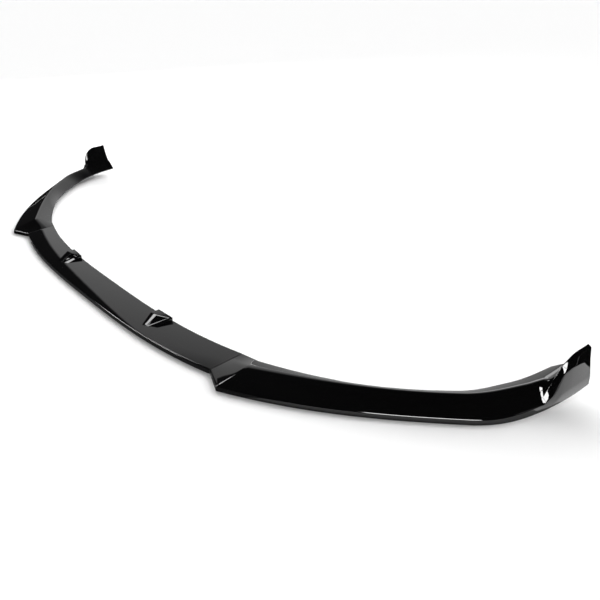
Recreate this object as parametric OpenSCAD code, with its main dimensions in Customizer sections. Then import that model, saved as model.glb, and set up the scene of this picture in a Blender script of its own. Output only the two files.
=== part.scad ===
// Front splitter lip: a bowed centre blade with two wedge blocks, and two swept side sections
// that end in upturned winglets. Right is +X, the front is -Y, and it stands on its lower edges.

/* [Overall] */
// Width over both winglets
overall_w = 1818; // [1700:1:1940]
// Depth from the front edge to the rear ends
overall_d = 480; // [440:1:540]
// Wall of all three mouldings
wall = 3; // [2.5:0.1:4]

/* [Centre section] */
// Width of the centre section, seam to seam
centre_w = 886; // [780:1:960]
// How far the middle of the front edge lies ahead of the seams
bow = 39; // [20:1:60]
// Depth of the blade, front edge to rear edge
blade_d = 72; // [64:1:90]
// Height of the blade at its rear edge
blade_rear_h = 14.5; // [12.5:0.1:20]
// Height of the turned-down front wall
front_h = 9.5; // [8:0.1:12]
// Radius of the bend over the front wall
front_r = 2.4; // [1:0.1:3]

/* [Wedge blocks] */
// Distance of each block's spine from the middle
pod_x = 214; // [120:1:300]
// Width of a block at the rear
pod_w = 76; // [60:1:100]
// Length of a block, tip to rear
pod_l = 52; // [40:1:60]
// Height of a block above the blade at its rear
pod_h = 9; // [6:0.5:14]
// Width of the rim round the sunk triangle
pod_rim = 4; // [3:0.5:7]
// Depth of the sunk triangle
pod_sink = 2.5; // [1:0.1:4]

/* [Side sections] */
// How far the front corner lies outboard of the seam
corner_out = 51; // [40:1:70]
// How far the front corner lies ahead of the seam's front end
corner_fwd = 21; // [12:1:30]
// How far the shoulder lies inboard of the rear end's outer edge
shoulder_in = 76; // [60:1:100]
// How far the shoulder lies ahead of the rear end
shoulder_fwd = 211; // [190:1:230]
// How far the winglet's root lies inboard of the rear end's outer edge
root_in = 25; // [18:1:34]
// How far the winglet's root lies ahead of the rear end
root_fwd = 106; // [96:1:118]
// Width of the sloped face at the corner, the shoulder, the winglet's root and the rear end
slope_w = [66, 39, 31, 47]; // [28:1:75]
// Width of the flange at the corner, the shoulder, the winglet's root and the rear end
flange_w = [40, 35, 33, 22]; // [18:1:45]
// Height of the ridge at the corner, the shoulder, the winglet's root and the rear end
ridge_h = [26.3, 35, 39.5, 42]; // [24:0.1:46]
// Height of the flange's inner edge at the corner, the shoulder, the winglet's root and the rear end
flange_h = [12.8, 15.2, 19.8, 24.5]; // [12:0.1:32]
// Radius of the bend along the ridge
ridge_r = 4; // [2:0.5:6]
// How far the lower edge rises at the rear end
rear_lift = 23.5; // [10:0.5:30]
// How far ahead of the rear end the lower edge starts to rise
lift_l = 96; // [80:1:110]

/* [Winglets] */
// Height of the winglet's top at its front corner
wing_front_h = 89; // [75:1:100]
// Height of the winglet's top at the rear end
wing_rear_h = 95; // [80:1:110]
// How far ahead of the rear end the winglet's front edge starts to rise
wing_l = 112; // [95:1:130]
// How far ahead of the rear end the winglet reaches its full height
wing_top_l = 66; // [55:1:85]
// Thickness of the winglet's top at the rear end
wing_top_t = 8; // [6:0.5:10]
// How far the top leans out over the lower edge at the winglet's front corner
wing_lean_out = 5; // [0:0.5:8]
// How far the top leans in from the lower edge at the rear end
wing_lean_in = 7; // [0:0.5:10]
// Height of the fold in the outer face at the rear end
fold_h = 70; // [55:1:80]

/* [Joints] */
// Gap between the mouldings at each seam
seam_gap = 0.3; // [0.2:0.1:0.6]
// Length of the tongue under the centre blade
tongue_l = 30; // [24:1:40]
// Thickness of the tongue
tongue_t = 3; // [2.5:0.1:4]
// Clearance over the tongue and round the bosses
fit_gap = 0.3; // [0.2:0.1:0.5]
// Diameter of the screw bosses
boss_d = 8; // [7:0.1:9]
// Shank diameter of the joint screws
screw_d = 4; // [3.5:0.1:4.5]
// Diameter of the screws' washer heads
screw_head_d = 12; // [11:0.1:13]

/* [Stiffening ribs] */
// Thickness of the ribs
rib_t = 2; // [1.5:0.1:3]
// Spacing of the ribs under the centre blade
rib_pitch = 120; // [90:1:160]
// Number of ribs under each side section
side_ribs = 4; // [2:1:5]
// Space left between the ribs and the ground
rib_clear = 2; // [1:0.5:4]

/* [Hidden] */
$fn = 32;
black = [0.06, 0.06, 0.07];
screw_grey = [0.3, 0.3, 0.32];
seam_x = centre_w / 2;
rear_x = overall_w / 2;
rear_y = overall_d - bow;
mid_y = (rear_y - bow) / 2;
corner = [seam_x + corner_out, -corner_fwd];
rear = [rear_x, rear_y];
shoulder = rear - [shoulder_in, shoulder_fwd];
root = rear - [root_in, root_fwd];
// plan headings in degrees, at the corner, the shoulder, the winglet's root and the rear end
edge_heading = [26, 45, 79.5, 80];
ridge_heading = [29, 46, 65, 94];
inner_heading = [20, 49, 68, 94.5];
// plan directions across the section, edge to ridge and ridge to inner edge
slope_dir = [85.7, 137.4, 165, 180];
flange_dir = [118, 140, 170.6, 180];
blade_l = 46;
blade_slope = atan((blade_rear_h - front_h) / (blade_d - front_r));
// the tongue's root beyond the seam, and the screws and their bosses
tongue_root = 9;
screw_len = 5;
head_t = 1.8;
screw_x = seam_x - tongue_l / 2;
screw_n = [20, 54];
seat_gap = 0.15;
boss_len = fit_gap + tongue_t + seat_gap;
// overlap of parts that join, and reach of cuts past a surface
joined = 1;

function mix(a, b, t) = a + (b - a) * t;
function ramp(t) = min(1, max(0, t));
function smooth(t) = let (u = ramp(t)) u * u * (3 - 2 * u);
function polar(r, a) = [r * cos(a), r * sin(a)];
function bezier(a, b, c, d, t) = let (s = 1 - t)
    a * s * s * s + b * 3 * s * s * t + c * 3 * s * t * t + d * t * t * t;
// smooth run from p to q that leaves at heading h and arrives at heading k
function run(p, h, q, k, t) = let (r = norm(q - p) * 0.36)
    bezier(p, p + polar(r, h), q - polar(r, k), q, t);
// a line through the stations: whole values of u are the points p, passed at the headings h
function through(p, h, u) = let (k = min(floor(u), len(p) - 2))
    run(p[k], h[k], p[k + 1], h[k + 1], u - k);
function level(v, u) = let (k = min(floor(u), len(v) - 2)) mix(v[k], v[k + 1], smooth(u - k));

edge_pts = [corner, shoulder, root, rear];
stations = [for (i = [0:len(edge_pts) - 1]) i];
ridge_pts = [for (i = stations) edge_pts[i] + polar(slope_w[i], slope_dir[i])];
inner_pts = [for (i = stations) ridge_pts[i] + polar(flange_w[i], flange_dir[i])];

// front edge of the centre blade in plan: flat in the middle, swept back towards the seams
function bow_y(x) = -bow + bow * pow(abs(x) / seam_x, 3);

// heights of the blade's top face and underside, at a distance from its front edge
function top_h(n) = mix(front_h, blade_rear_h, (n - front_r) / (blade_d - front_r));
function under_h(n) = top_h(n) - wall;

// outer face of the common section, as [distance from the edge, height]
// b: lower edge, l: edge to ridge, f: ridge to inner edge, hr and hi: their heights
function outer_arm(b, l, f, hr, hi) = let (
        top = b + front_h,
        rise = (hr - top) / (l - front_r),
        drop = (hi - hr) / f)
    concat(
        [[0, b], [front_r * 0.2, top - front_r], [front_r * 0.5, top - front_r * 0.33]],
        [for (n = [front_r * 1.2, l * 0.13, l * 0.2, l * 0.3, l * 0.4, l * 0.52, l * 0.7])
            [n, top + rise * (n - front_r)]],
        [[l - ridge_r, hr - rise * ridge_r], [l, hr - ridge_r * (rise - drop) / 4], [l + ridge_r, hr + drop * ridge_r]],
        [[l + f / 2, hr + drop * f / 2], [l + f, hi]]);
// inner face, from the inner edge back to the lower edge
function inner_arm(b, l, f, hr, hi) = let (
        top = b + front_h,
        rise = (hr - top) / (l - front_r),
        t = wall * sqrt(1 + rise * rise))
    concat(
        [[l + f, hi - wall * 1.1], [l + f / 2, mix(hr, hi, 0.5) - wall * 1.12],
         [l + ridge_r / 2, hr - wall * 1.25], [l - ridge_r, hr - rise * ridge_r - t]],
        [for (n = [0.6 * l, 0.4 * l, wall * 1.5]) [n, top + rise * (n - front_r) - t]],
        [[wall * 1.13, top - wall * 1.33], [wall, b]]);

// winglet section: c is the fold of the outer face, r its rim and e the inner corner of the top;
// the hollow inside sweeps from e down to the ridge
function hollow(e, l, hr, s) = [mix(e[0], l, s), hr + (e[1] - hr) * pow(1 - s, 2.2)];
function outer_wing(b, l, f, hr, hi, c, r, e) =
    [[0, b], mix([0, b], c, 0.35) - [(c[1] - b) * 0.04, 0], mix([0, b], c, 0.85), c, mix(c, r, 0.5), r,
     mix(r, e, 0.2) + [0, wall * 0.2], e, hollow(e, l, hr, 0.2), hollow(e, l, hr, 0.45),
     hollow(e, l, hr, 0.72), [l, hr], mix([l, hr], [l + f, hi], 0.2), mix([l, hr], [l + f, hi], 0.55), [l + f, hi]];
function inner_wing(b, l, f, hr, hi, c, r, e) =
    [[l + f, hi - wall * 1.1], mix([l, hr], [l + f, hi], 0.5) - [0, wall * 1.15], [l, hr - wall * 1.3],
     hollow(e, l, hr, 0.72) - [wall * 0.6, wall * 1.5], hollow(e, l, hr, 0.2) - [wall * 0.8, wall * 2],
     [mix(r[0], e[0], 0.5) + wall / 2, mix(b, r[1], 0.85)], [c[0] + wall, mix(b, c[1], 0.9)],
     [mix(0, c[0], 0.5) + wall, mix(b, c[1], 0.5)], [wall, b]];

function blend(p, q, w) = [for (i = [0:len(p) - 1]) mix(p[i], q[i], w)];
// sets a section up in space along the plan line from b over r to i
function stand(section, b, r, i) = let (l = norm(r - b), f = norm(i - r))
    [for (s = section) let (p = s[0] < l ? mix(b, r, s[0] / l) : mix(r, i, (s[0] - l) / f))
        [p[0], p[1], s[1]]];

// lines of the winglet against y, the distance ahead of the rear end
function lift(y) = rear_lift * pow(ramp(1 - y / lift_l), 1.6);
function wing_share(y) = smooth((wing_l + joined - y) / (wing_l - wing_top_l) * 3.2);
function rim(y) = let (t = ramp((wing_l - y) / (wing_l - wing_top_l)))
    [mix(0.6, 1, t) * mix(wing_lean_in, -wing_lean_out, smooth(y / wing_top_l)) + (1 - t) * wall,
     mix(front_h, mix(wing_rear_h - wall * 0.2, wing_front_h, ramp(y / wing_top_l)), 1 - pow(1 - t, 1.4))];
function fold(y) = let (t = ramp(1 - y / lift_l))
    [mix(front_r * 0.5, wing_lean_in * 0.75, smooth(t * 2 - 1)),
     mix(front_h * 1.25, fold_h, t < 0.5 ? 0.9 * smooth(t * 1.45 - 0.05) : mix(0.8, 1, t * 2 - 1))];
function top_corner(y) = rim(y) + [mix(2, wing_top_t, ramp((wing_l - y) / wing_l * 1.5)), 0];

// plan points and heights of the section at u, which is -1 at the seam and counts the stations from
// 0 at the corner: lower edge, ridge, inner edge, ridge height, inner height
function seam_b() = [seam_x + seam_gap / 2, bow_y(seam_x)];
function station(u) = let (s = ramp(u + 1)) u < 0
    ? [mix(seam_b(), edge_pts[0], s), mix(seam_b() + [0, blade_l], ridge_pts[0], s),
       mix(seam_b() + [0, blade_d], inner_pts[0], s), mix(top_h(blade_l), ridge_h[0], s),
       mix(blade_rear_h, flange_h[0], s)]
    : [through(edge_pts, edge_heading, u), through(ridge_pts, ridge_heading, u),
       through(inner_pts, inner_heading, u), level(ridge_h, u), level(flange_h, u)];
function side_line(q, outer) = let (
        l = norm(q[1] - q[0]), f = norm(q[2] - q[1]), y = rear_y - q[0][1],
        z = lift(y), w = wing_share(y), c = fold(y), r = rim(y), e = top_corner(y))
    stand(outer
        ? blend(outer_arm(z, l, f, q[3], q[4]), outer_wing(z, l, f, q[3], q[4], c, r, e), w)
        : blend(inner_arm(z, l, f, q[3], q[4]), inner_wing(z, l, f, q[3], q[4], c, r, e), w),
        q[0], q[1], q[2]);
function side_ring(u) = concat(side_line(station(u), true), side_line(station(u), false));
// outer point faced by each inner point, counted from the lower edge
function side_match() = [0, 1, 3, 7, 8, 10, 11, 13, 14];
function blade_match() = [0, 1, 3, 4];
function plate_match() = [0, 1];

// one ring of the centre blade at x: front wall, bend, flat top, rear edge and the open underside
function blade_section() =
    [[0, 0], [0.5, front_h - front_r], [1.1, front_h - 0.9], [front_r, front_h], [blade_d, blade_rear_h],
     [blade_d, under_h(blade_d)], [wall + front_r, under_h(wall + front_r)],
     [wall + 0.6, front_h - wall - 1], [wall, 0]];
function blade_ring(x) = [for (s = blade_section()) [x, bow_y(x) + s[0], s[1]]];

// closed skin through rings that all have the same number of points; a ring runs along its outer
// line and back along its inner line, and match names the outer point that each inner point faces
function cap(match, n) = [for (j = [0:len(match) - 2]) each concat(
    [for (k = [match[j]:1:match[j + 1] - 1]) [k, k + 1, n - 1 - j]],
    [[match[j + 1], n - 2 - j, n - 1 - j]])];
module skin(rings, match) {
    n = len(rings[0]);
    last = (len(rings) - 1) * n;
    polyhedron(
        points = [for (r = rings) each r],
        faces = concat(
            [for (f = cap(match, n)) [f[2], f[1], f[0]]],
            [for (a = [0:n:last - n], i = [0:n - 1]) let (j = (i + 1) % n, b = a + n)
                each [[a + i, a + j, b + j], [a + i, b + j, b + i]]],
            [for (f = cap(match, n)) f + [last, last, last]]),
        convexity = 8);
}

// two screw positions under the seam, square to the blade's underside
module place_screws() {
    for (n = screw_n)
        translate([screw_x, bow_y(screw_x) + n, under_h(n)]) rotate([blade_slope, 0, 0]) children();
}

// thin upright plate under the blade, from the front wall to the rear edge
module blade_rib(x) {
    translate([x - rib_t / 2, bow_y(x) + wall / 2, 0]) rotate([90, 0, 90]) linear_extrude(rib_t)
        polygon([[0, rib_clear], [blade_d - wall * 3, rib_clear * 3], [blade_d - wall, under_h(blade_d) + wall / 3],
            [wall, under_h(wall) + wall / 3], [0, rib_clear * 2]]);
}

// wedge block on the blade: x is measured from the spine and n from the blade's front edge
function on_blade(x, n, z) = [pod_x + x, bow_y(pod_x + x) + n, z];
function unit(v) = v / norm(v);
// corners of the block: five buried in the blade, then four round the top face
function pod_points() = let (
        o = pod_w / 2, n0 = blade_d - pod_l, n1 = blade_d - pod_l * 0.68, n2 = blade_d - wall / 6,
        n3 = blade_d - pod_l * 0.34, z = blade_rear_h + pod_h)
    concat(
        [for (p = [[0, n0], [o * 0.86, n1], [o, n2], [-o, n2], [-o * 0.86, n1 + pod_l * 0.06]])
            on_blade(p[0], p[1], top_h(p[1]) - wall / 2)],
        [on_blade(pod_w * 0.08, n3, z - pod_h * 0.25), on_blade(o * 0.95, n2, z - pod_h * 0.14),
         on_blade(-o * 0.84, n2, z), on_blade(-o * 0.58, n3, z - pod_h * 0.12)]);

// the sunk triangle in the outer facet, as a thin prism that cuts it
module pod_sunk(a, b, c) {
    normal = unit(cross(c - a, b - a));
    mid = (a + b + c) / 3;
    edge_mid = norm(cross(b - a, c - a)) / (norm(b - a) + norm(c - b) + norm(a - c));
    k = 1 - pod_rim * 0.5 / edge_mid;
    ring = [for (p = [a, b, c]) mid + (p - mid) * k];
    polyhedron(
        points = concat([for (p = ring) p + normal * wall], [for (p = ring) p - normal * pod_sink]),
        faces = [[0, 1, 2], [5, 4, 3], [0, 3, 4, 1], [1, 4, 5, 2], [2, 5, 3, 0]]);
}

module pod() {
    p = pod_points();
    difference() {
        polyhedron(points = p, faces = [[0, 1, 4], [1, 2, 3], [1, 3, 4], [0, 5, 6], [0, 6, 1], [1, 6, 2],
            [5, 8, 7], [5, 7, 6], [0, 8, 5], [0, 4, 8], [4, 7, 8], [4, 3, 7], [2, 6, 7], [2, 7, 3]]);
        pod_sunk(p[0], p[5], p[6]);
    }
}

module centre_section() {
    steps = 31;
    reach = seam_x - seam_gap / 2;
    color(black) translate([0, -mid_y, 0]) difference() {
        union() {
            skin([for (k = [0:steps]) blade_ring(mix(-reach, reach, k / steps))], blade_match());
            for (x = [rib_pitch / 2:rib_pitch:seam_x - tongue_l * 1.3], s = [-1, 1]) blade_rib(s * x);
            for (s = [0, 1]) mirror([s, 0, 0]) {
                pod();
                place_screws() translate([0, 0, -boss_len]) cylinder(d = boss_d, h = boss_len + joined);
            }
        }
        for (s = [0, 1]) mirror([s, 0, 0])
            place_screws() translate([0, 0, -boss_len - joined]) cylinder(d = screw_d, h = screw_len + joined + seat_gap);
    }
}

// tongue that slides under the centre blade, and the block that joins it to the side section
function tongue_ring(x, n0, n1, up, down) =
    [for (p = [[n0, up], [n1, up], [n1, down], [n0, down]])
        [x, bow_y(min(x, seam_x)) + p[0], under_h(p[0]) + p[1]]];
module tongue() {
    n0 = wall * 1.7 + front_r;
    n1 = blade_d - wall * 1.3;
    low = -fit_gap - tongue_t;
    far = seam_x + tongue_root;
    difference() {
        skin([for (x = [for (k = [0:3]) seam_x - tongue_l * (1 - k / 3), far + joined])
            tongue_ring(x, n0, n1, -fit_gap, low)], plate_match());
        place_screws() translate([0, 0, -boss_len - joined]) cylinder(d = boss_d + fit_gap * 2, h = boss_len + joined * 2);
    }
    skin([tongue_ring(seam_x + seam_gap * 2, n0 + joined, n1 - joined, wall * 0.4, low / 2),
        tongue_ring(far, n0 + joined, n1 - joined, wall * 0.9, low / 2)], plate_match());
}

// upright rib under the sloped face at u, from the front wall to the ridge
module side_rib(u) {
    q = station(u);
    across = q[1] - q[0];
    l = norm(across);
    rise = (q[3] - front_h) / (l - front_r);
    back = l - ridge_r;
    translate([q[0][0], q[0][1], 0]) rotate([90, 0, atan2(across[1], across[0])])
        linear_extrude(rib_t, center = true)
            polygon([[wall * 0.6, rib_clear], [back, rib_clear * 3],
                for (n = [back, wall * 2]) [n, front_h + rise * (n - front_r) - wall * 0.7],
                [wall * 0.6, front_h - wall]]);
}

module right_side_section() {
    color(black) translate([0, -mid_y, 0]) union() {
        skin([for (u = concat([-1, -0.5], [for (k = [0:10]) k / 10], [for (k = [1:8]) 1 + k / 8],
            [for (k = [1:24]) 2 + k / 24])) side_ring(u)], side_match());
        for (k = [1:side_ribs]) side_rib(1.3 * k / (side_ribs + 0.5));
        tongue();
    }
}

module left_side_section() {
    mirror([1, 0, 0]) right_side_section();
}

module joint_screws() {
    color(screw_grey) translate([0, -mid_y, 0])
        for (s = [0, 1]) mirror([s, 0, 0]) place_screws() {
            translate([0, 0, -boss_len - head_t]) cylinder(d = screw_head_d, h = head_t);
            translate([0, 0, -boss_len]) cylinder(d = screw_d, h = screw_len);
        }
}

centre_section();
left_side_section();
right_side_section();
joint_screws();
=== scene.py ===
import math
import bmesh
import bpy
from mathutils import Matrix, Vector


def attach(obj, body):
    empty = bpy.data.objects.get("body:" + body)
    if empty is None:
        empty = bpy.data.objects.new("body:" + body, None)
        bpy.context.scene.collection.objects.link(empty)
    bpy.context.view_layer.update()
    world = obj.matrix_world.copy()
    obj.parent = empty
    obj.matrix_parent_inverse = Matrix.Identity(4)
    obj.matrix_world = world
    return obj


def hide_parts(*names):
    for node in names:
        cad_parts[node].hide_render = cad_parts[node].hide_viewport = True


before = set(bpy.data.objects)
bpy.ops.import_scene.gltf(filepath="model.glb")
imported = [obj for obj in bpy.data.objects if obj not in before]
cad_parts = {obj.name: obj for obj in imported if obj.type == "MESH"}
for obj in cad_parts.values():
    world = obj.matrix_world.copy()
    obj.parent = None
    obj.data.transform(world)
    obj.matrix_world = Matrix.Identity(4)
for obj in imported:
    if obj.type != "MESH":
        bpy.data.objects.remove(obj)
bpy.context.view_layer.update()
scene = bpy.context.scene

# The camera stands to the front right of the lip and looks down along it, a little rolled.
# It is a normal lens on a square frame, so the near winglet looms and the far one shrinks.
MM = 0.001
frame_pixels, focal_pixels, sensor_width = 600, 669.4, 36
view_turn, view_rise, view_roll = math.radians(50.35), math.radians(26.70), math.radians(-0.53)
eye = Vector((1317.1, -715.9, 649.4)) * MM
back = Vector((math.sin(view_turn) * math.cos(view_rise), -math.cos(view_turn) * math.cos(view_rise),
               math.sin(view_rise)))
sideways = Vector((math.cos(view_turn), math.sin(view_turn), 0))
upright = back.cross(sideways)
across = sideways * math.cos(view_roll) + upright * math.sin(view_roll)
upward = upright * math.cos(view_roll) - sideways * math.sin(view_roll)
camera = bpy.data.objects.new("studio_camera", bpy.data.cameras.new("studio_camera"))
camera.matrix_world = Matrix((across, upward, back)).transposed().to_4x4()
camera.matrix_world.translation = eye
camera.data.sensor_width = sensor_width
camera.data.lens = focal_pixels / frame_pixels * sensor_width
camera.data.clip_start, camera.data.clip_end = 0.05, 200
scene.collection.objects.link(camera)
scene.camera = camera
scene.view_settings.view_transform = "Standard"

# The studio is a white paper floor that runs out of sight. A wide bright screen stands behind the lip,
# from its right rear round to its left, and is brightest low down at the rear. All else is dim.


class Wire:
    """An output in a node tree. Sums and products add Math nodes, and node() adds any other node."""

    def __init__(self, tree, socket=None):
        self.tree, self.socket = tree, socket

    def node(self, kind, settings=None, values=None, out=0):
        """Adds a node of this kind with its settings and the values or wires of its sockets."""
        made = self.tree.nodes.new(kind)
        for name, value in (settings or {}).items():
            if name == "stops":
                for stop, (place, shade) in zip(made.color_ramp.elements, value):
                    stop.position, stop.color = place, (shade, shade, shade, 1)
            else:
                setattr(made, name, value)
        for name, value in (values or {}).items():
            if isinstance(value, Wire):
                self.tree.links.new(value.socket, made.inputs[name])
            else:
                made.inputs[name].default_value = value
        return Wire(self.tree, made.outputs[out]) if len(made.outputs) else made

    def maths(self, operation, *values):
        return self.node("ShaderNodeMath", {"operation": operation}, dict(enumerate(values)))

    def __add__(self, other):
        return self.maths("ADD", self, other)

    def __sub__(self, other):
        return self.maths("SUBTRACT", self, other)

    def __rsub__(self, other):
        return self.maths("SUBTRACT", other, self)

    def __mul__(self, other):
        return self.maths("MULTIPLY", self, other)

    __radd__, __rmul__ = __add__, __mul__


world = bpy.data.worlds.new("studio")
scene.world = world
world.use_nodes = True
world.node_tree.nodes.clear()
air = Wire(world.node_tree)
heading = air.node("ShaderNodeTexCoord", out="Generated")
rise = air.node("ShaderNodeSeparateXYZ", values={"Vector": heading}, out="Z")


def fading_upwards(start, end):
    """1 below the rise start and 0 above the rise end. A rise is the sine of an angle above the floor."""
    return air.node("ShaderNodeValToRGB", {"stops": [(start, 1.0), (end, 0.0)]}, {"Fac": rise})


def clockwise_of(turn, softness):
    """1 clockwise of this heading, as seen from above, and 0 on its other side.

    Headings are in degrees: 0 is the lip's right, 90 its rear and 180 its left."""
    across_it = (math.sin(math.radians(turn)), -math.cos(math.radians(turn)), 0)
    off = air.node("ShaderNodeVectorMath", {"operation": "DOT_PRODUCT"}, {0: heading, 1: across_it},
                   out="Value")
    return air.node("ShaderNodeClamp", values={"Value": off * (0.5 / softness) + 0.5})


def by_ray(kind, others, these):
    """The last strength for rays of this kind, and the first for all others."""
    asked = air.node("ShaderNodeLightPath", out=kind)
    return air.node("ShaderNodeMix", {"data_type": "FLOAT"}, {"Factor": asked, 2: others, 3: these})


screen_left, screen_right, low_part_left = 165.1, 50, 136
room_shine, screen_shine, low_part_shine = 0.02, 0.85, 1.4
room_wash, screen_wash, paper_white = 0.34, 6.0, 0.97
screen = (fading_upwards(0.60, 0.78) * clockwise_of(screen_left, softness=0.006)
          * clockwise_of(screen_right + 180, softness=0.04))
low_part = fading_upwards(0.24, 0.46) * clockwise_of(low_part_left, softness=0.05)
shine = room_shine + screen * (screen_shine + low_part_shine * low_part)
wash = room_wash + screen_wash * screen
# The gloss mirrors the shine, the wash lights all else, and past the floor the camera sees a pale grey.
seen = by_ray("Is Camera Ray", by_ray("Is Glossy Ray", wash, shine), 1.0)
sky = air.node("ShaderNodeBackground", values={"Strength": seen})
air.node("ShaderNodeOutputWorld", values={"Surface": sky})

floor_reach = 60
floor_corners = [(x * floor_reach, y * floor_reach, 0) for x, y in ((-1, -1), (1, -1), (1, 1), (-1, 1))]
floor_mesh = bpy.data.meshes.new("studio_floor")
floor_mesh.from_pydata(floor_corners, [], [(0, 1, 2, 3)])
floor = bpy.data.objects.new("studio_floor", floor_mesh)
scene.collection.objects.link(floor)
paper = bpy.data.materials.new("floor_paper")
paper.use_nodes = True
paper_shader = paper.node_tree.nodes["Principled BSDF"]
paper_shader.inputs["Base Color"].default_value = (paper_white, paper_white, paper_white, 1)
paper_shader.inputs["Roughness"].default_value = 0.9
paper_shader.inputs["Specular IOR Level"].default_value = 0
floor_mesh.materials.append(paper)


def soft_light(name, place, aim, size, power, only_shine=False):
    """A lit panel that faces aim. It lights what is matt, or else it is only mirrored by the gloss."""
    lamp = bpy.data.lights.new(name, "AREA")
    lamp.shape, lamp.energy = "RECTANGLE", power
    lamp.size, lamp.size_y = size
    holder = bpy.data.objects.new(name, lamp)
    holder.location = place
    holder.rotation_euler = (Vector(aim) - Vector(place)).to_track_quat("-Z", "Y").to_euler()
    scene.collection.objects.link(holder)
    holder.visible_diffuse = not only_shine
    holder.visible_glossy = only_shine


# The overhead and side boxes light the floor round the lip. The others put the bright lines on its
# edges, the bright patch at the foot of the right winglet and the bright rim of the right wedge block.
soft_light("overhead_softbox", place=(0.2, 0.5, 2.2), aim=(0.1, 0, 0), size=(2.6, 2.0), power=6)
soft_light("edge_softbox_right", place=(1.82, -0.86, 1.49), aim=(0.84, 0.06, 0), size=(1.05, 0.3), power=24,
           only_shine=True)
soft_light("side_softbox", place=(-2.9, 0.75, 0.9), aim=(-0.5, 0.1, 0), size=(1.0, 0.6), power=52)
soft_light("foot_softbox_right", place=(2.12, -1.05, 1.05), aim=(0.882, 0.159, 0.02), size=(1.2, 0.75),
           power=70, only_shine=True)
soft_light("rim_softbox", place=(-1.15, -0.106, 1.473), aim=(0.22, -0.19, 0.015), size=(0.42, 0.36),
           power=3.8, only_shine=True)
soft_light("edge_softbox_left", place=(-1.38, -1.55, 0.9), aim=(0, -0.2, 0), size=(1.2, 0.3), power=30,
           only_shine=True)

card_height = 0.0004


def flag(name, glow, *corners):
    """A card on the floor that only reflections see, to darken or lighten what the gloss mirrors."""
    mesh = bpy.data.meshes.new(name)
    mesh.from_pydata([(x, y, card_height) for x, y in corners], [], [tuple(range(len(corners)))])
    card = bpy.data.objects.new(name, mesh)
    scene.collection.objects.link(card)
    card.visible_camera = card.visible_diffuse = card.visible_shadow = card.visible_transmission = False
    paint = bpy.data.materials.new(name)
    paint.use_nodes = True
    shader = paint.node_tree.nodes["Principled BSDF"]
    shader.inputs["Base Color"].default_value = (0, 0, 0, 1)
    shader.inputs["Specular IOR Level"].default_value = 0
    shader.inputs["Emission Color"].default_value = (1, 1, 1, 1)
    shader.inputs["Emission Strength"].default_value = glow
    mesh.materials.append(paint)


# In the gloss the floor is black to the left of the lip and behind its right end, bright beside the
# right winglet, and grey inside the arms and before the blade.
flag("flag_left", 0.01, (-3, -0.9), (-0.45, -0.9), (-0.45, -0.1), (-0.75, 0.4), (-3, 0.6))
flag("flag_right", 0.01, (0.912, 0.35), (1.1, 0.356), (4, 1.2), (4, 4), (0.912, 4))
flag("glow_right", 2.1, (0.892, 0.14), (4, -0.1), (4, 1.2), (1.1, 0.356), (0.912, 0.35), (0.911, 0.24))
flag("flag_inside", 0.35, (-0.4, -0.12), (0.48, -0.12), (0.777, 0.077), (0.82, 0.15), (0.86, 0.3), (1.2, 3),
     (-1.5, 3))
flag("flag_front", 0.14, (-0.4, -0.9), (0.75, -0.9), (0.62, -0.2), (-0.4, -0.2))

# The centre blade: a thin plank that bows forward in plan, with a turned-down front wall and a top that
# slopes up to the rear. It is injection-moulded in black plastic, in one piece with its ribs, bosses and
# wedge blocks, glossy where it shows and matt where it is hidden.

# Its sizes and those of the other pieces are in millimetres. A distance n counts from the front edge
# backwards, and a distance y from the seams, which mid_y moves to the middle of the frame.
seam_x, bow, blade_d, blade_rear_h = 443, 39, 72, 14.5
front_h, edge_d, wall, mid_y, seam_gap = 9.5, 2.4, 3, 201, 2
blade_sections = 97
top_slope = (blade_rear_h - front_h) / (blade_d - edge_d)
crease = math.radians(35)


def new_finish(name):
    """A new material, and the place on the piece that its patterns follow."""
    made = bpy.data.materials.new(name)
    made.use_nodes = True
    return made, Wire(made.node_tree).node("ShaderNodeTexCoord", out="Object")


def noise(place, scale, detail):
    """A soft random pattern over the piece, between 0 and 1."""
    return place.node("ShaderNodeTexNoise", values={"Vector": place, "Scale": scale, "Detail": detail})


def finished(made, tone, blueness, rough, relief, strength, depth):
    """Gives a material its grey tone, its share of blue, its roughness and its fine relief."""
    shader = made.node_tree.nodes["Principled BSDF"]
    colour = tone.node("ShaderNodeCombineColor", values={
        "Red": tone, "Green": tone, "Blue": tone * blueness})
    bump = tone.node("ShaderNodeBump", values={"Strength": strength, "Distance": depth, "Height": relief})
    for wire, socket in ((colour, "Base Color"), (rough, "Roughness"), (bump, "Normal")):
        made.node_tree.links.new(wire.socket, shader.inputs[socket])
    return made


def gloss_black():
    """High gloss, with the faint waviness of a moulded skin and a few duller patches from handling."""
    made, place = new_finish("gloss_black_plastic")
    made.node_tree.nodes["Principled BSDF"].inputs["IOR"].default_value = 1.5
    wave, cloud, dust = noise(place, 55, 1), noise(place, 9, 4), noise(place, 1900, 2)
    return finished(made, tone=0.0015 + 0.002 * cloud, blueness=1.08,
                    rough=0.01 + 0.014 * cloud + 0.01 * dust, relief=wave, strength=0.05, depth=0.0006)


def matt_black():
    """The grain that a spark-eroded tool leaves on the hidden side."""
    made, place = new_finish("matt_black_plastic")
    grain, cloud = noise(place, 1400, 3), noise(place, 14, 3)
    return finished(made, tone=0.016 + 0.012 * cloud, blueness=1.0, rough=0.48 + 0.16 * cloud, relief=grain,
                    strength=0.4, depth=0.0003)


gloss, matt = gloss_black(), matt_black()


def bow_y(x):
    """The blade's front edge at x in plan, which is 0 at the seams and furthest forward in the middle."""
    return bow * (abs(x) / seam_x) ** 3 - bow


def top_h(n):
    """Height of the blade's top at n behind its front edge."""
    return front_h + top_slope * (n - edge_d)


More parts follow.
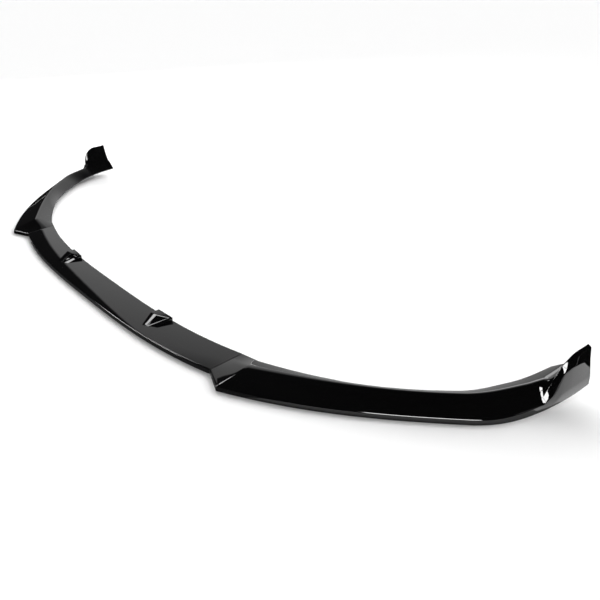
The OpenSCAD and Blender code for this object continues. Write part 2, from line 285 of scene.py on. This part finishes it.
def softened(corners, steps=4, most=0.45):
    """A closed line through corners, each given as (point, setback) and rounded over its setback.

    A setback takes at most this share of the side that it stands on."""
    line = []
    for k, (point, setback) in enumerate(corners):
        before, after = corners[k - 1][0], corners[(k + 1) % len(corners)][0]
        start = point + (before - point).normalized() * min(setback, (before - point).length * most)
        end = point + (after - point).normalized() * min(setback, (after - point).length * most)
        for i in range(steps + 1):
            t = i / steps
            line.append(start * (1 - t) ** 2 + point * 2 * t * (1 - t) + end * t * t)
    return line


def prism(rings, glossy_columns=(), mirrored=False):
    """A closed skin through rings of equal length, gloss on the given columns and matt elsewhere."""
    solid = bmesh.new()
    side = -1 if mirrored else 1
    rows = [[solid.verts.new((p.x * side * MM, (p.y - mid_y) * MM, p.z * MM)) for p in ring]
            for ring in rings]
    count = len(rows[0])
    for low, high in zip(rows, rows[1:]):
        for j in range(count):
            face = solid.faces.new((low[j], low[(j + 1) % count], high[(j + 1) % count], high[j]))
            face.material_index = 0 if j in glossy_columns else 1
    for end in (rows[0], rows[-1]):
        solid.faces.new(end).material_index = 1
    bmesh.ops.recalc_face_normals(solid, faces=solid.faces)
    return solid


def eased(solid, offset, least=30):
    """Rounds off the edges of a solid that turn by more than this angle in degrees."""
    sharp = [e for e in solid.edges if len(e.link_faces) == 2 and e.calc_face_angle() > math.radians(least)]
    bmesh.ops.bevel(solid, geom=sharp, offset=offset * MM, segments=2, profile=0.5, affect="EDGES",
                    clamp_overlap=True)
    return solid


def moulded(name, *solids):
    """One piece of black plastic from these solids, gloss on faces of index 0 and matt on the rest."""
    whole = bmesh.new()
    for solid in solids:
        part = bpy.data.meshes.new("part")
        solid.to_mesh(part)
        whole.from_mesh(part)
        bpy.data.meshes.remove(part)
        solid.free()
    mesh = bpy.data.meshes.new(name)
    whole.to_mesh(mesh)
    whole.free()
    mesh.materials.append(gloss)
    mesh.materials.append(matt)
    mesh.shade_smooth()
    mesh.set_sharp_from_angle(angle=crease)
    piece = bpy.data.objects.new(name, mesh)
    scene.collection.objects.link(piece)
    return piece


def named_tree(name, inputs):
    """A geometry tree with a mesh in, a mesh out and named number inputs, and wires to use in it."""
    tree = bpy.data.node_groups.new(name, "GeometryNodeTree")
    tree.interface.new_socket("Geometry", in_out="INPUT", socket_type="NodeSocketGeometry")
    tree.interface.new_socket("Geometry", in_out="OUTPUT", socket_type="NodeSocketGeometry")
    for label, value in inputs.items():
        kind = "NodeSocketInt" if isinstance(value, int) else "NodeSocketFloat"
        tree.interface.new_socket(label, in_out="INPUT", socket_type=kind)
    start = tree.nodes.new("NodeGroupInput")
    return tree, Wire(tree), {socket.name: Wire(tree, socket) for socket in start.outputs if socket.name}


def grown(name, start_mesh, tree, inputs):
    """The plain mesh that a tree makes from start_mesh with these sizes."""
    holder = bpy.data.objects.new(name, start_mesh)
    scene.collection.objects.link(holder)
    modifier = holder.modifiers.new(name, "NODES")
    modifier.node_group = tree
    for item in tree.interface.items_tree:
        if item.in_out == "INPUT" and item.name in inputs:
            modifier[item.identifier] = inputs[item.name]
    bpy.context.view_layer.update()
    mesh = bpy.data.meshes.new_from_object(holder.evaluated_get(bpy.context.evaluated_depsgraph_get()))
    mesh.name = name
    bpy.data.objects.remove(holder)
    return mesh


def coordinate(base, axis):
    """Where each point of a tree's geometry stands along this axis."""
    place = base.node("GeometryNodeInputPosition")
    return base.node("ShaderNodeSeparateXYZ", values={"Vector": place}, out=axis)


def node_vector(base, **parts):
    """A vector with these parts, and 0 for those that aren't given."""
    return base.node("ShaderNodeCombineXYZ", values=parts)


def bow_shift(base, size):
    """How far the rule of the bow moves a point of a straight row along y, to its place in the lip."""
    share = base.maths("ABSOLUTE", coordinate(base, "X")) * base.maths("DIVIDE", 1.0, size["Seam"])
    return size["Bow"] * base.maths("POWER", share, 3.0) - size["Front"]


def in_material(base, geometry, material, **where):
    """Geometry in this material, all over or where the Selection is 1."""
    values = {"Geometry": geometry, "Material": material, **where}
    return base.node("GeometryNodeSetMaterial", values=values)


blade_corners = [(0, 0, 0.8), (0.9, front_h, 2.2), (blade_d, blade_rear_h, 1.0),
                 (blade_d, top_h(blade_d) - wall, 0.8), (wall + 2, top_h(wall + 2) - wall, 2), (wall, 0, 0.8)]
blade_outline = softened([(Vector((n, -z, 0)) * MM, r * MM) for n, z, r in blade_corners])
blade_profile = bpy.data.meshes.new("blade_profile")
outline_sides = [(k, (k + 1) % len(blade_outline)) for k in range(len(blade_outline))]
blade_profile.from_pydata(blade_outline, outline_sides, [])
bow_sizes = {"Seam": seam_x * MM, "Bow": bow * MM, "Front": (bow + mid_y) * MM}
blade_sizes = {**bow_sizes, "Reach": (seam_x - seam_gap / 2) * MM, "Sections": blade_sections}
tree, base, size = named_tree("bowed_blade", blade_sizes)
path = base.node("GeometryNodeCurvePrimitiveLine", values={
    "Start": node_vector(base, X=size["Reach"]), "End": node_vector(base, X=size["Reach"] * -1.0)})
path = base.node("GeometryNodeResampleCurve", values={"Curve": path, "Count": size["Sections"]})
section = base.node("GeometryNodeMeshToCurve", values={"Mesh": size["Geometry"]})
plank = base.node("GeometryNodeCurveToMesh", values={
    "Curve": path, "Profile Curve": section, "Fill Caps": True})
shift = bow_shift(base, size)
plank = base.node("GeometryNodeSetPosition", values={
    "Geometry": plank, "Offset": node_vector(base, Y=shift)})
plank = base.node("GeometryNodeRealizeInstances", values={"Geometry": plank})
# The hidden faces lie well below the top and behind the front wall.
n = coordinate(base, "Y") - shift
below_top = base.maths("LESS_THAN", coordinate(base, "Z") - n * top_slope, (top_h(0) - wall * 0.75) * MM)
hidden = below_top * base.maths("GREATER_THAN", n, wall * 0.6 * MM)
plank = in_material(base, in_material(base, plank, gloss), matt, Selection=hidden)
base.node("NodeGroupOutput", values={"Geometry": plank})
blade_solid = bmesh.new()
blade_solid.from_mesh(grown("centre_blade", blade_profile, tree, blade_sizes))

# The blade's hidden side: thin upright ribs across it that repeat along the bow, and round bosses
# that take the joint screws, two at each seam. All are moulded with it and stay matt.
rib_t, rib_pitch, rib_count, rib_round = 2, 120, 6, 0.3
rib_low, rib_low_rear = 2, 6
boss_len, boss_r, boss_face_r, boss_round, boss_sunk = 3.45, 4, 2.2, 0.4, 0.5
screw_x, screw_n = 428, (20, 54)


def under_h(n):
    """Height of the blade's underside at n behind its front edge."""
    return top_h(n) - wall


rib_sizes = {**bow_sizes, "Pitch": rib_pitch * MM, "Count": rib_count}
tree, base, size = named_tree("blade_ribs", rib_sizes)
row_start = size["Pitch"] * base.maths("MULTIPLY_ADD", size["Count"], -0.5, 0.5)
row = base.node("GeometryNodeMeshLine", values={
    "Count": size["Count"], "Start Location": node_vector(base, X=row_start),
    "Offset": node_vector(base, X=size["Pitch"])})
ribs = base.node("GeometryNodeInstanceOnPoints", values={"Points": row, "Instance": size["Geometry"]})
ribs = base.node("GeometryNodeRealizeInstances", values={"Geometry": ribs})
ribs = base.node("GeometryNodeSetPosition", values={
    "Geometry": ribs, "Offset": node_vector(base, Y=bow_shift(base, size))})
base.node("NodeGroupOutput", values={"Geometry": in_material(base, ribs, matt)})
rib_outline = [(wall / 2, rib_low), (blade_d - wall * 2.5, rib_low_rear),
               (blade_d - wall / 2, under_h(blade_d) + wall / 3), (wall * 1.5, under_h(wall) + wall / 3),
               (wall / 2, rib_low * 2)]
rib_rings = [[Vector((x, n + mid_y, z)) for n, z in rib_outline] for x in (-rib_t / 2, rib_t / 2)]
rib_plate = bpy.data.meshes.new("blade_rib")
eased(prism(rib_rings), rib_round).to_mesh(rib_plate)
rib_solid = bmesh.new()
rib_solid.from_mesh(grown("blade_ribs", rib_plate, tree, rib_sizes))


def turned(profile, lobes=0, lobe_depth=0.16, count=48):
    """A solid of revolution through (radius, z) points. Those marked True have a lobed outline."""
    solid = bmesh.new()
    rows = []
    for radius, z, lobed in profile:
        row = []
        for k in range(count):
            turn = math.tau * k / count
            reach = radius * (1 + lobe_depth * math.cos(lobes * turn)) if lobed else radius
            row.append(solid.verts.new(Vector((math.cos(turn) * reach, math.sin(turn) * reach, z)) * MM))
        rows.append(row)
    for low, high in zip(rows, rows[1:]):
        for j in range(count):
            solid.faces.new((low[j], low[(j + 1) % count], high[(j + 1) % count], high[j]))
    solid.faces.new(rows[0])
    solid.faces.new(rows[-1])
    bmesh.ops.recalc_face_normals(solid, faces=solid.faces)
    return solid


screw_mid = sum(screw_n) / 2
joint_sizes = {**bow_sizes, "Span": 2 * screw_x * MM, "Spread": (screw_n[1] - screw_n[0]) * MM,
               "Middle": screw_mid * MM, "Height": under_h(screw_mid) * MM, "Fall": top_slope}


def at_the_joints(name, solid, material):
    """A mesh of copies of this solid at the four screw places, square to the blade's underside."""
    tree, base, size = named_tree(name, joint_sizes)
    places = base.node("GeometryNodeMeshGrid", values={
        "Size X": size["Span"], "Size Y": size["Spread"], "Vertices X": 2, "Vertices Y": 2})
    shift = node_vector(base, Y=bow_shift(base, size) + size["Middle"],
                        Z=size["Height"] + coordinate(base, "Y") * size["Fall"])
    places = base.node("GeometryNodeSetPosition", values={"Geometry": places, "Offset": shift})
    tilt = node_vector(base, X=base.maths("ARCTANGENT", size["Fall"]))
    copies = base.node("GeometryNodeInstanceOnPoints", values={
        "Points": places, "Instance": size["Geometry"], "Rotation": tilt})
    copies = base.node("GeometryNodeRealizeInstances", values={"Geometry": copies})
    base.node("NodeGroupOutput", values={"Geometry": in_material(base, copies, material)})
    start = bpy.data.meshes.new(name)
    solid.to_mesh(start)
    solid.free()
    return grown(name, start, tree, joint_sizes)


boss = turned([(boss_face_r, -boss_len, False), (boss_r - boss_round, -boss_len, False),
               (boss_r, boss_round - boss_len, False), (boss_r, boss_sunk, False)])
boss_solid = bmesh.new()
boss_solid.from_mesh(at_the_joints("screw_bosses", boss, matt))
for solid in (rib_solid, boss_solid):
    for face in solid.faces:
        face.material_index = 1

# The wedge blocks: two low wedges moulded on the blade's top, each with a pointed foot towards the front
# and a sunk triangle in one facet, whose rim is flat and whose floor is tilted. Both face the same way.
block_places, block_sunk, block_rear = (219, -205), 1.5, 71.6
block_plan = {"tip": (3, 16), "shoulder": (11, 19), "flank": (33, 29), "flank_rear": (31, block_rear),
              "rear": (-33, block_rear), "side": (-33, 59), "front": (-21, 43.5)}
block_top = {"peak": (-18, 53.5, 21.6), "peak_rear": (-17, block_rear, 22.8),
             "flank_top": (31, block_rear, 22.0), "brow": (-3, 56, 21.0)}
sunk_facet = "shoulder flank_top brow"
block_faces = ["peak peak_rear flank_top brow", sunk_facet, "front tip shoulder brow peak",
               "side front peak", "rear side peak peak_rear", "shoulder flank flank_top",
               "flank flank_rear flank_top", "flank_rear rear peak_rear flank_top",
               "tip front side rear flank_rear flank shoulder"]
recess_rim, recess_wall, recess_depth, recess_tilt = 3.3, 0.7, 1.2, 2.6
block_round, block_edge_angle, block_flat_angle = 0.5, 12, 0.5


def wedge_block(centre):
    """The block round x = centre. Its foot is sunk in the blade, and its top has its own heights."""
    block = bmesh.new()
    corners = {}
    for name, (x, n, *z) in {**block_plan, **block_top}.items():
        height = z[0] if z else top_h(n) - block_sunk
        place = Vector((centre + x, bow_y(centre + x) + n - mid_y, height)) * MM
        corners[name] = block.verts.new(place)
    for names in block_faces:
        block.faces.new([corners[name] for name in names.split()])
    bmesh.ops.recalc_face_normals(block, faces=block.faces)
    bmesh.ops.connect_verts_nonplanar(block, faces=block.faces[:], angle_limit=math.radians(block_flat_angle))
    facet_corners = {corners[name] for name in sunk_facet.split()}
    facet = [face for face in block.faces if set(face.verts) == facet_corners]
    bmesh.ops.inset_region(block, faces=facet, thickness=recess_rim * MM, use_even_offset=True)
    bmesh.ops.inset_region(block, faces=facet, thickness=recess_wall * MM, depth=-recess_depth * MM,
                           use_even_offset=True)
    shallowest = min(facet[0].verts, key=lambda v: (v.co - corners["brow"].co).length)
    for v in facet[0].verts:
        v.co.z -= 0 if v == shallowest else recess_tilt * MM
    return eased(block, block_round, block_edge_angle)


blade = moulded("centre_blade", blade_solid, rib_solid, boss_solid, *map(wedge_block, block_places))
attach(blade, "root")
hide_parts("centre_section")

# The side sections: swept arms of the same black plastic, each one moulding that is screwed to the blade
# from below at its seam. An arm steps forward to its front corner and runs back with a front wall, a
# slope up to a ridge and a falling flange, and the slope twists upright into a winglet.
wing_y, rear_y, seam_ridge = 345, 441, 46

# Plan lines through four stations, at the front corner, on the arm, at the winglet's root and at the
# rear end, with their headings there in degrees, and the heights of the ridge and of the inner edge.
edge = [Vector(p) for p in ((494, -21), (832.5, 229.4), (883.9, 335.1), (909, rear_y))]
ridge = [Vector(p) for p in ((499, 45), (803.9, 255.7), (854.3, 343.1), (862, rear_y))]
inner = [Vector(p) for p in ((480, 80.5), (777.1, 278.1), (816.5, 348.4), (839, rear_y))]
edge_heading = (25.8, 44.8, 79.5, 79.8)
ridge_heading = (29.1, 45.9, 65.3, 93.9)
inner_heading = (20.3, 49.2, 66, 80.5)
ridge_h = (26.3, 35, 39.5, 42)
inner_h = (12.8, 15.2, 20.3, 24.5)


def mix(a, b, t):
    return a + (b - a) * t


def step_up(value, start, end):
    """0 up to start, 1 past end and a smooth rise between them."""
    t = min(1, max(0, (value - start) / (end - start)))
    return t * t * (3 - 2 * t)


def along(points, headings, u, pull=0.36):
    """Smooth plan line through stations: whole values of u are the stations, with their headings."""
    k = min(int(u), len(points) - 2)
    p, q, t = points[k], points[k + 1], u - k
    reach = (q - p).length * pull
    a, b = math.radians(headings[k]), math.radians(headings[k + 1])
    p1 = p + Vector((math.cos(a), math.sin(a))) * reach
    q1 = q - Vector((math.cos(b), math.sin(b))) * reach
    return p * (1 - t) ** 3 + p1 * 3 * (1 - t) ** 2 * t + q1 * 3 * (1 - t) * t * t + q * t ** 3


def through(knots, x):
    """Smooth line through (x, value) knots, level beyond the ends."""
    if x <= knots[0][0]:
        return knots[0][1]
    if x >= knots[-1][0]:
        return knots[-1][1]
    k = max(i for i in range(len(knots) - 1) if knots[i][0] <= x)

    def lean(i):
        i0, i1 = max(i - 1, 0), min(i + 1, len(knots) - 1)
        return (knots[i1][1] - knots[i0][1]) / (knots[i1][0] - knots[i0][0])

    (x0, v0), (x1, v1) = knots[k], knots[k + 1]
    h, t = x1 - x0, (x - x0) / (x1 - x0)
    return (v0 * (1 + 2 * t) * (1 - t) ** 2 + v1 * t * t * (3 - 2 * t)
            + lean(k) * h * t * (1 - t) ** 2 - lean(k + 1) * h * t * t * (1 - t))


def station(u):
    """At u, plan points of the lower edge, ridge and inner edge, then heights of the last two.

    u runs from -1 at the seam over 0 at the front corner to 3 at the rear end."""
    if u < 0:
        seam, s = Vector((seam_x + seam_gap / 2, 0)), u + 1
        return (mix(seam, edge[0], s), mix(seam + Vector((0, seam_ridge)), ridge[0], s),
                mix(seam + Vector((0, blade_d)), inner[0], s), mix(top_h(seam_ridge), ridge_h[0], s),
                mix(blade_rear_h, inner_h[0], s))
    return (along(edge, edge_heading, u), along(ridge, ridge_heading, u), along(inner, inner_heading, u),
            through(list(enumerate(ridge_h)), u), through(list(enumerate(inner_h)), u))


# Lines of the winglet against the distance y, each by its height z and by how far n it stands inwards
# of the lower edge. The rim is the leading and top edge, the outer face turns at the fold below it, and
# the brow is between them.
rim_z = [(wing_y, 17), (352, 20), (357, 25), (361, 31), (370, 45), (380, 62), (384.5, 70.5), (386.5, 72.5),
         (398, 81), (411, 88), (rear_y, 94.4)]
rim_n = [(wing_y, 10), (380, 10), (411, 12.5), (rear_y, 14.6)]
brow_z = [(wing_y, 14), (358, 17.5), (366, 22), (372, 32), (377, 46), (382, 59.5), (390, 69), (400, 76.5),
          (420, 87), (rear_y, 91.5)]
brow_n = [(wing_y, 2.5), (366, 1.5), (382, 1.8), (390, 3.2), (400, 5), (420, 7.6), (rear_y, 8)]
fold_z = [(wing_y, 12), (358, 14), (366, 18), (372, 28), (377, 42), (382, 55), (390, 63), (400, 68),
          (420, 71), (rear_y, 70)]
fold_n = [(wing_y, 1.4), (366, 0.5), (380, 0.5), (400, 1), (rear_y, 5.5)]
rim_round, fold_start, arm_fold = 0.6, 250, (1.4, 12)
tail_rise, tail_power, curl_most, curl_height = 23.7, 1.6, 1.2, 30
left_lead, lead_lift = 13, 0.75

# Stretches of y over which the arm's section turns into the winglet's, the left winglet's lead comes
# and goes, and its front edge is lifted and comes down again.
turning, lead_comes, lead_goes = (344, 358), (325, wing_y), (396, rear_y)
lift_comes, lift_goes = (366, 384), (388, 438)


def side_corners(u, lead=0):
    """The section at u, as corners with setbacks. The winglet's front edge leans forward by the lead."""
    foot, crown, heel, crown_z, heel_z = station(u)
    y = foot.y
    ahead = y + lead * step_up(y, *lead_comes) * (1 - step_up(y, *lead_goes))
    lift = lead_lift * lead * step_up(ahead, *lift_comes) * (1 - step_up(ahead, *lift_goes))
    rising = step_up(ahead, *turning)
    slope_w, flange_w = (crown - foot).length, (heel - crown).length
    whole_w = slope_w + flange_w
    slope = (crown_z - front_h) / (slope_w - edge_d)
    low = tail_rise * max(0, (y - wing_y) / (rear_y - wing_y)) ** tail_power
    top = (through(rim_n, ahead), through(rim_z, ahead) + rim_round + lift)
    brow = (through(brow_n, ahead), through(brow_z, ahead) + lift)
    fold = (through(fold_n, ahead), through(fold_z, ahead) + lift / 2)
    if y < wing_y:
        fold = (arm_fold[0], mix(front_h, arm_fold[1], step_up(y, fold_start, wing_y)))
    curl = 1 + curl_most * step_up(top[1], crown_z, crown_z + curl_height)

    def on_slope(share, drop=0):
        n = slope_w * share
        return n, front_h + slope * (n - edge_d) - drop

    def hollow(share, inwards=0, drop=0):
        return (mix(top[0], slope_w, share) - inwards,
                crown_z + (top[1] - crown_z) * (1 - share) ** curl - drop)

    def both(arm, wing):
        return mix(arm[0], wing[0], rising), mix(arm[1], wing[1], rising)

    # Most corners are blended between a place on the arm and a place on the winglet.
    front_arm = (0.5, mix(low, front_h, 0.5))
    front_wing = (0.35 * fold[0] - 0.04 * (fold[1] - low), mix(low, fold[1], 0.35))
    outside = [
        ((0, low), 0.8),
        (both(front_arm, front_wing), 4),
        (fold, 2.0),
        (both(on_slope(0.10), brow), 2.0),
        (both(on_slope(0.32), top), 1.6),
        (both(on_slope(0.42), hollow(0.15)), 5),
        (both(on_slope(0.57), hollow(0.38)), 6),
        (both(on_slope(0.75), hollow(0.68)), 7),
        ((slope_w, crown_z), 8),
        ((whole_w, heel_z), 1.0),
    ]
    hidden_side = [
        ((whole_w, heel_z - wall), 0.8),
        ((slope_w + 1, crown_z - wall * 1.3), 5),
        (both(on_slope(0.75, wall), hollow(0.68, 1.8, wall * 1.5)), 5),
        (both(on_slope(0.42, wall), hollow(0.2, 2.4, wall * 2)), 3),
        (both(on_slope(0.32, wall), (mix(brow[0], top[0], 0.5) + 1.5, mix(low, brow[1], 0.85))), 1),
        (both((wall + 2, front_h - wall + 0.3), (fold[0] + wall, mix(low, fold[1], 0.9))), 1.5),
        ((wall, low), 0.8),
    ]
    placed = []
    for (n, z), setback in outside + hidden_side:
        p = mix(foot, crown, n / slope_w) if n < slope_w else mix(crown, heel, (n - slope_w) / flange_w)
        placed.append((Vector((p.x, p.y, z)), setback))
    return placed


# The sections stand closest together round the front corner and along the winglet.
steps = [-1 + k / 6 for k in range(6)] + [-0.06, 0, 0.012]
steps += [k / 40 for k in range(1, 40)]
steps += [1 + k / 30 for k in range(30)]
steps += [2 + k / 50 for k in range(51)]
rings = [softened(side_corners(u)) for u in steps]
left_rings = [softened(side_corners(u, left_lead)) for u in steps]


def side_rib(u):
    """An upright plate under the sloped face at u, from the front wall to the ridge."""
    foot, crown, _, crown_z, _ = station(u)
    slope_w = (crown - foot).length
    slope, rear = (crown_z - front_h) / (slope_w - edge_d), slope_w - wall
    along_it = (crown - foot).normalized()
    thick = Vector((-along_it.y, along_it.x)) * rib_t / 2

    def under_slope(n):
        return front_h + slope * (n - edge_d) - wall * 0.7

    plate = [(wall * 0.6, rib_low), (rear, rib_low_rear), (rear, under_slope(rear)),
             (wall * 2, under_slope(wall * 2)), (wall * 0.6, front_h - wall)]
    return [[Vector((*(foot + along_it * n + side * thick), z)) for n, z in plate] for side in (-1, 1)]


# At each seam a flat tongue of the side section reaches under the blade and takes the screws. A
# thicker block joins it to the section.
tongue_l, tongue_t, tongue_root, fit_gap = 30, 3, 9, 0.3
tongue_n = wall * 1.7 + edge_d, blade_d - wall * 1.3


def tongue_ring(x, n0, n1, up, down):
    """A cut at x from n0 to n1 behind the front edge, up and down from the blade's underside."""
    y = bow_y(min(x, seam_x))
    return [Vector((x, y + n, under_h(n) + z)) for n, z in ((n0, up), (n1, up), (n1, down), (n0, down))]


tongue = [tongue_ring(x, *tongue_n, -fit_gap, -fit_gap - tongue_t)
          for x in [seam_x - tongue_l * (1 - k / 5) for k in range(6)] + [seam_x + tongue_root]]
tongue_block = [tongue_ring(x, tongue_n[0] + 1, tongue_n[1] - 1, up, -(fit_gap + tongue_t) / 2)
                for x, up in ((seam_x + 0.6, wall * 0.4), (seam_x + tongue_root, wall * 0.9))]
side_rib_pitch = 1.3 / 4.5
side_ribs = [side_rib(side_rib_pitch * k) for k in range(1, 5)]
# The glossy outside ends in the middle of the rounding at the inner edge.
outer_columns = range(47)
for name, mirrored in (("right_side_section", False), ("left_side_section", True)):
    arm = prism(left_rings if mirrored else rings, outer_columns, mirrored)
    hidden_parts = [eased(prism(part, (), mirrored), rib_round) for part in side_ribs + [tongue]]
    root = prism(tongue_block, (), mirrored)
    moulding = moulded(name.replace("section", "moulding"), arm, *hidden_parts, root)
    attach(moulding, "root")
    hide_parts(name)

# The joint screws: short thread-forming screws of zinc-plated steel with a pressed washer head and a
# six-lobed recess, driven up through the tongues into the blade's bosses.
recess = [(1.0, -0.5), (1.7, -0.55), (1.8, -1.6), (1.95, -1.72)]
washer_head = [(2.7, -1.8), (3.4, -1.66), (3.8, -1.25), (3.9, -0.95), (4.3, -0.8), (5.6, -0.72), (5.9, -0.6),
               (6, -0.4), (6, -0.1), (5.9, 0)]
shank = [(2, 0), (2, 4.4), (1.3, 5)]


def plated_steel():
    """Bright zinc plating with a fine grain and duller clouds."""
    made, place = new_finish("zinc_plated_steel")
    made.node_tree.nodes["Principled BSDF"].inputs["Metallic"].default_value = 1
    grain, cloud = noise(place, 2600, 3), noise(place, 420, 4)
    return finished(made, tone=0.34 + 0.16 * cloud, blueness=1.04, rough=0.26 + 0.22 * cloud, relief=grain,
                    strength=0.25, depth=0.0002)


screw_profile = [(r, z - boss_len, line is recess) for line in (recess, washer_head, shank) for r, z in line]
screw = turned(screw_profile, lobes=6)
screws = bpy.data.objects.new("joint_screws", at_the_joints("joint_screws", screw, plated_steel()))
scene.collection.objects.link(screws)
screws.data.shade_smooth()
screws.data.set_sharp_from_angle(angle=crease)
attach(screws, "root")
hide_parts("joint_screws")
